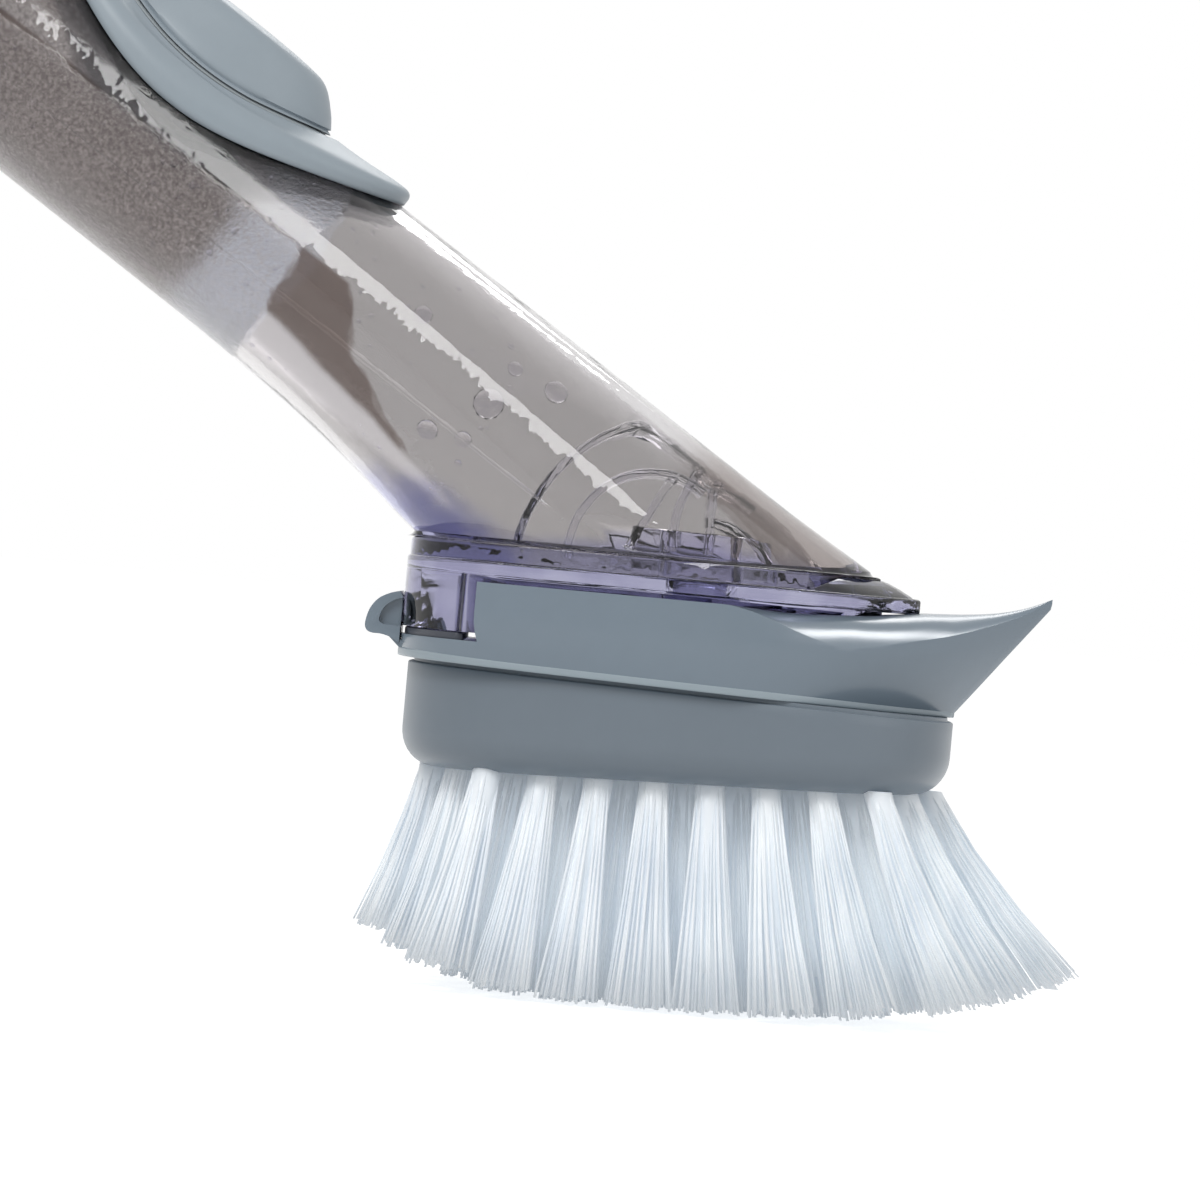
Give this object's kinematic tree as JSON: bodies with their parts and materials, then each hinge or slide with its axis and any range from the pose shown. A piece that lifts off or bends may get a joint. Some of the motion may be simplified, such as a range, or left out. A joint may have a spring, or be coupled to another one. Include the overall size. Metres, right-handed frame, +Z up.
{
  "type": "dish wand",
  "caption": "Dish wand: clear soap-holding handle, pump button, screw cap with hanging hole, clip-on brush head with scraper nose and release tab.",
  "frame": {"origin": "under the middle of the whole wand, on the plane of the bristle tips", "axes": "+X towards the scraper nose, +Z up away from the bristle tips, the handle rises towards -X at 33.2 degrees, Y across the brush head"},
  "size_m": [0.2106, 0.0512, 0.162],
  "materials": {
    "clear_plastic": "clear, faintly lavender, smooth",
    "tinted_plastic": "clear with a purple tint, smooth",
    "silicone": "soft, matt",
    "soft_grey": "soft touch, satin",
    "grey_plastic": "satin grey",
    "block_plastic": "satin darker grey",
    "nylon": "white translucent bristle"
  },
  "bodies": {
    "handle": {"bottle": "clear_plastic", "base_plate": "tinted_plastic", "outlet_chamber": "clear_plastic", "soap_valve": "silicone", "valve_retainer": "tinted_plastic", "outlet_seal": "silicone", "button_collar": "grey_plastic", "button_bellows": "silicone", "clamp_ring": "grey_plastic"},
    "button": {"button_dome": "soft_grey"},
    "cap_seal": {"cap_gasket": "silicone"},
    "cap": {"end_cap": "grey_plastic"},
    "head": {"head_tray": "grey_plastic", "brush_block": "block_plastic", "bristle_row_1": "nylon", "bristle_row_2": "nylon", "bristle_row_3": "nylon", "bristle_row_4": "nylon", "bristle_row_5": "nylon"},
    "tab": {"release_tab": "grey_plastic"}
  },
  "joints": [
    {"name": "button_press", "type": "slide", "parent": "handle", "child": "button", "axis": [-0.5476, 0, -0.8368], "range_m": [0, 0.003], "stiffness_N_per_m": 500, "springref_m": -0.002, "deforming": ["button_bellows"]},
    {"name": "cap_lift", "type": "slide", "parent": "handle", "child": "cap_seal", "axis": [-0.8368, 0, 0.5476], "range_m": [0, 0.006]},
    {"name": "cap_turn", "type": "hinge", "parent": "cap_seal", "child": "cap", "pos_m": [-0.08902, 0, 0.14776], "axis": [-0.8368, 0, 0.5476], "range_deg": [0, 540]},
    {"name": "head_release", "type": "hinge", "parent": "handle", "child": "head", "pos_m": [0.07926, 0, 0.0486], "axis": [0, -1, 0], "range_deg": [0, 10], "deforming": ["release_tab"]},
    {"name": "tab_flex", "type": "hinge", "parent": "head", "child": "tab", "pos_m": [0.01336, 0, 0.04435], "axis": [0, -1, 0], "range_deg": [0, 14], "stiffness_Nm_per_rad": 0.12}
  ],
  "couplings": [
    {"joint": "cap_lift", "follows": "cap_turn", "m_per_rad": 0.00063662}
  ]
}
